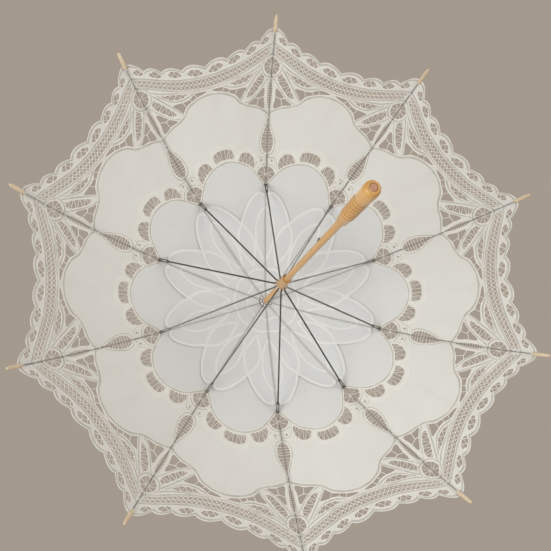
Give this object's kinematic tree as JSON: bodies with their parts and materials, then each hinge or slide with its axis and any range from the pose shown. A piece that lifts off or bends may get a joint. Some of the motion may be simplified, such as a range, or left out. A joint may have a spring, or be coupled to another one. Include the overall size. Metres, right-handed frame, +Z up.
{
  "type": "lace parasol",
  "caption": "Open lace parasol with a wooden stick and turned handle, curved steel ribs on a slotted notch, a sliding runner with stretchers, and a scalloped lace canopy.",
  "frame": {"origin": "the middle of the hand grip, on the stick's axis, where a hand holds the open parasol", "axes": "+Z up the stick from the grip to the ferrule, with the canopy open above; -Y is the side of rib 01"},
  "size_m": [0.8014, 0.8426, 0.6434],
  "materials": {
    "wood": "clear varnished honey wood, fine grain along the stick",
    "pale_wood": "pale unstained turned wood, satin",
    "end_grain": "pinkish brown end grain, satin",
    "steel": "dark drawn steel wire, dull",
    "pale_metal": "pale plated metal, worn satin",
    "lace": "cream cotton tape lace with plain cotton and sheer insets"
  },
  "bodies": {
    "stick": {"stick": "wood", "handle": "wood", "handle_plug": "end_grain", "ferrule": "wood", "cap": "pale_metal", "notch": "pale_metal", "notch_wire": "steel", "top_catch_pin": "steel", "bottom_catch_pin": "steel"},
    "runner": {"runner": "wood", "runner_wire": "steel"},
    "top_catch": {"top_catch": "steel"},
    "bottom_catch": {"bottom_catch": "steel"},
    "rib_01": {"rib_01": "steel", "tip_01": "pale_wood", "canopy_01": "lace"},
    "stretcher_01": {"stretcher_01": "steel"},
    "rib_02": {"rib_02": "steel", "tip_02": "pale_wood", "canopy_02": "lace"},
    "stretcher_02": {"stretcher_02": "steel"},
    "rib_03": {"rib_03": "steel", "tip_03": "pale_wood", "canopy_03": "lace"},
    "stretcher_03": {"stretcher_03": "steel"},
    "rib_04": {"rib_04": "steel", "tip_04": "pale_wood", "canopy_04": "lace"},
    "stretcher_04": {"stretcher_04": "steel"},
    "rib_05": {"rib_05": "steel", "tip_05": "pale_wood", "canopy_05": "lace"},
    "stretcher_05": {"stretcher_05": "steel"},
    "rib_06": {"rib_06": "steel", "tip_06": "pale_wood", "canopy_06": "lace"},
    "stretcher_06": {"stretcher_06": "steel"},
    "rib_07": {"rib_07": "steel", "tip_07": "pale_wood", "canopy_07": "lace"},
    "stretcher_07": {"stretcher_07": "steel"},
    "rib_08": {"rib_08": "steel", "tip_08": "pale_wood", "canopy_08": "lace"},
    "stretcher_08": {"stretcher_08": "steel"},
    "rib_09": {"rib_09": "steel", "tip_09": "pale_wood", "canopy_09": "lace"},
    "stretcher_09": {"stretcher_09": "steel"},
    "rib_10": {"rib_10": "steel", "tip_10": "pale_wood", "canopy_10": "lace"},
    "stretcher_10": {"stretcher_10": "steel"}
  },
  "joints": [
    {"name": "runner_slide", "type": "slide", "parent": "stick", "child": "runner", "axis": [0, 0, 1], "range_m": [-0.2564, 0]},
    {"name": "rib_hinge_01", "type": "hinge", "parent": "stick", "child": "rib_01", "pos_m": [0, -0.007, 0.528], "axis": [1, 0, 0], "range_deg": [0, 63.6], "deforming": ["canopy_01"]},
    {"name": "stretcher_hinge_01", "type": "hinge", "parent": "rib_01", "child": "stretcher_01", "pos_m": [0, -0.189, 0.47961], "axis": [1, 0, 0], "range_deg": [-121.7, 0]},
    {"name": "rib_hinge_02", "type": "hinge", "parent": "stick", "child": "rib_02", "pos_m": [0.00411, -0.00566, 0.528], "axis": [0.809, 0.5878, 0], "range_deg": [0, 63.6], "deforming": ["canopy_02"]},
    {"name": "stretcher_hinge_02", "type": "hinge", "parent": "rib_02", "child": "stretcher_02", "pos_m": [0.11109, -0.1529, 0.47961], "axis": [0.809, 0.5878, 0], "range_deg": [-121.7, 0]},
    {"name": "rib_hinge_03", "type": "hinge", "parent": "stick", "child": "rib_03", "pos_m": [0.00666, -0.00216, 0.528], "axis": [0.309, 0.9511, 0], "range_deg": [0, 63.6], "deforming": ["canopy_03"]},
    {"name": "stretcher_hinge_03", "type": "hinge", "parent": "rib_03", "child": "stretcher_03", "pos_m": [0.17975, -0.0584, 0.47961], "axis": [0.309, 0.9511, 0], "range_deg": [-121.7, 0]},
    {"name": "rib_hinge_04", "type": "hinge", "parent": "stick", "child": "rib_04", "pos_m": [0.00666, 0.00216, 0.528], "axis": [-0.309, 0.9511, 0], "range_deg": [0, 63.6], "deforming": ["canopy_04"]},
    {"name": "stretcher_hinge_04", "type": "hinge", "parent": "rib_04", "child": "stretcher_04", "pos_m": [0.17975, 0.0584, 0.47961], "axis": [-0.309, 0.9511, 0], "range_deg": [-121.7, 0]},
    {"name": "rib_hinge_05", "type": "hinge", "parent": "stick", "child": "rib_05", "pos_m": [0.00411, 0.00566, 0.528], "axis": [-0.809, 0.5878, 0], "range_deg": [0, 63.6], "deforming": ["canopy_05"]},
    {"name": "stretcher_hinge_05", "type": "hinge", "parent": "rib_05", "child": "stretcher_05", "pos_m": [0.11109, 0.1529, 0.47961], "axis": [-0.809, 0.5878, 0], "range_deg": [-121.7, 0]},
    {"name": "rib_hinge_06", "type": "hinge", "parent": "stick", "child": "rib_06", "pos_m": [0, 0.007, 0.528], "axis": [-1, 0, 0], "range_deg": [0, 63.6], "deforming": ["canopy_06"]},
    {"name": "stretcher_hinge_06", "type": "hinge", "parent": "rib_06", "child": "stretcher_06", "pos_m": [0, 0.189, 0.47961], "axis": [-1, 0, 0], "range_deg": [-121.7, 0]},
    {"name": "rib_hinge_07", "type": "hinge", "parent": "stick", "child": "rib_07", "pos_m": [-0.00411, 0.00566, 0.528], "axis": [-0.809, -0.5878, 0], "range_deg": [0, 63.6], "deforming": ["canopy_07"]},
    {"name": "stretcher_hinge_07", "type": "hinge", "parent": "rib_07", "child": "stretcher_07", "pos_m": [-0.11109, 0.1529, 0.47961], "axis": [-0.809, -0.5878, 0], "range_deg": [-121.7, 0]},
    {"name": "rib_hinge_08", "type": "hinge", "parent": "stick", "child": "rib_08", "pos_m": [-0.00666, 0.00216, 0.528], "axis": [-0.309, -0.9511, 0], "range_deg": [0, 63.6], "deforming": ["canopy_08"]},
    {"name": "stretcher_hinge_08", "type": "hinge", "parent": "rib_08", "child": "stretcher_08", "pos_m": [-0.17975, 0.0584, 0.47961], "axis": [-0.309, -0.9511, 0], "range_deg": [-121.7, 0]},
    {"name": "rib_hinge_09", "type": "hinge", "parent": "stick", "child": "rib_09", "pos_m": [-0.00666, -0.00216, 0.528], "axis": [0.309, -0.9511, 0], "range_deg": [0, 63.6], "deforming": ["canopy_09"]},
    {"name": "stretcher_hinge_09", "type": "hinge", "parent": "rib_09", "child": "stretcher_09", "pos_m": [-0.17975, -0.0584, 0.47961], "axis": [0.309, -0.9511, 0], "range_deg": [-121.7, 0]},
    {"name": "rib_hinge_10", "type": "hinge", "parent": "stick", "child": "rib_10", "pos_m": [-0.00411, -0.00566, 0.528], "axis": [0.809, -0.5878, 0], "range_deg": [0, 63.6], "deforming": ["canopy_10"]},
    {"name": "stretcher_hinge_10", "type": "hinge", "parent": "rib_10", "child": "stretcher_10", "pos_m": [-0.11109, -0.1529, 0.47961], "axis": [0.809, -0.5878, 0], "range_deg": [-121.7, 0]},
    {"name": "top_catch_press", "type": "hinge", "parent": "stick", "child": "top_catch", "pos_m": [-0.00275, -0.002, 0.3347], "axis": [-0.5878, 0.809, 0], "range_deg": [0, 6.5], "stiffness_Nm_per_rad": 0.4, "springref_deg": -3.44},
    {"name": "bottom_catch_press", "type": "hinge", "parent": "stick", "child": "bottom_catch", "pos_m": [-0.00275, -0.002, 0.1889], "axis": [0.5878, -0.809, 0], "range_deg": [0, 6.5], "stiffness_Nm_per_rad": 0.4, "springref_deg": -3.44}
  ],
  "couplings": [
    {"joint": "rib_hinge_01", "follows": "runner_slide", "rad_per_m": -4.3225},
    {"joint": "stretcher_hinge_01", "follows": "runner_slide", "rad_per_m": 8.2761},
    {"joint": "rib_hinge_02", "follows": "runner_slide", "rad_per_m": -4.3225},
    {"joint": "stretcher_hinge_02", "follows": "runner_slide", "rad_per_m": 8.2761},
    {"joint": "rib_hinge_03", "follows": "runner_slide", "rad_per_m": -4.3225},
    {"joint": "stretcher_hinge_03", "follows": "runner_slide", "rad_per_m": 8.2761},
    {"joint": "rib_hinge_04", "follows": "runner_slide", "rad_per_m": -4.3225},
    {"joint": "stretcher_hinge_04", "follows": "runner_slide", "rad_per_m": 8.2761},
    {"joint": "rib_hinge_05", "follows": "runner_slide", "rad_per_m": -4.3225},
    {"joint": "stretcher_hinge_05", "follows": "runner_slide", "rad_per_m": 8.2761},
    {"joint": "rib_hinge_06", "follows": "runner_slide", "rad_per_m": -4.3225},
    {"joint": "stretcher_hinge_06", "follows": "runner_slide", "rad_per_m": 8.2761},
    {"joint": "rib_hinge_07", "follows": "runner_slide", "rad_per_m": -4.3225},
    {"joint": "stretcher_hinge_07", "follows": "runner_slide", "rad_per_m": 8.2761},
    {"joint": "rib_hinge_08", "follows": "runner_slide", "rad_per_m": -4.3225},
    {"joint": "stretcher_hinge_08", "follows": "runner_slide", "rad_per_m": 8.2761},
    {"joint": "rib_hinge_09", "follows": "runner_slide", "rad_per_m": -4.3225},
    {"joint": "stretcher_hinge_09", "follows": "runner_slide", "rad_per_m": 8.2761},
    {"joint": "rib_hinge_10", "follows": "runner_slide", "rad_per_m": -4.3225},
    {"joint": "stretcher_hinge_10", "follows": "runner_slide", "rad_per_m": 8.2761}
  ]
}
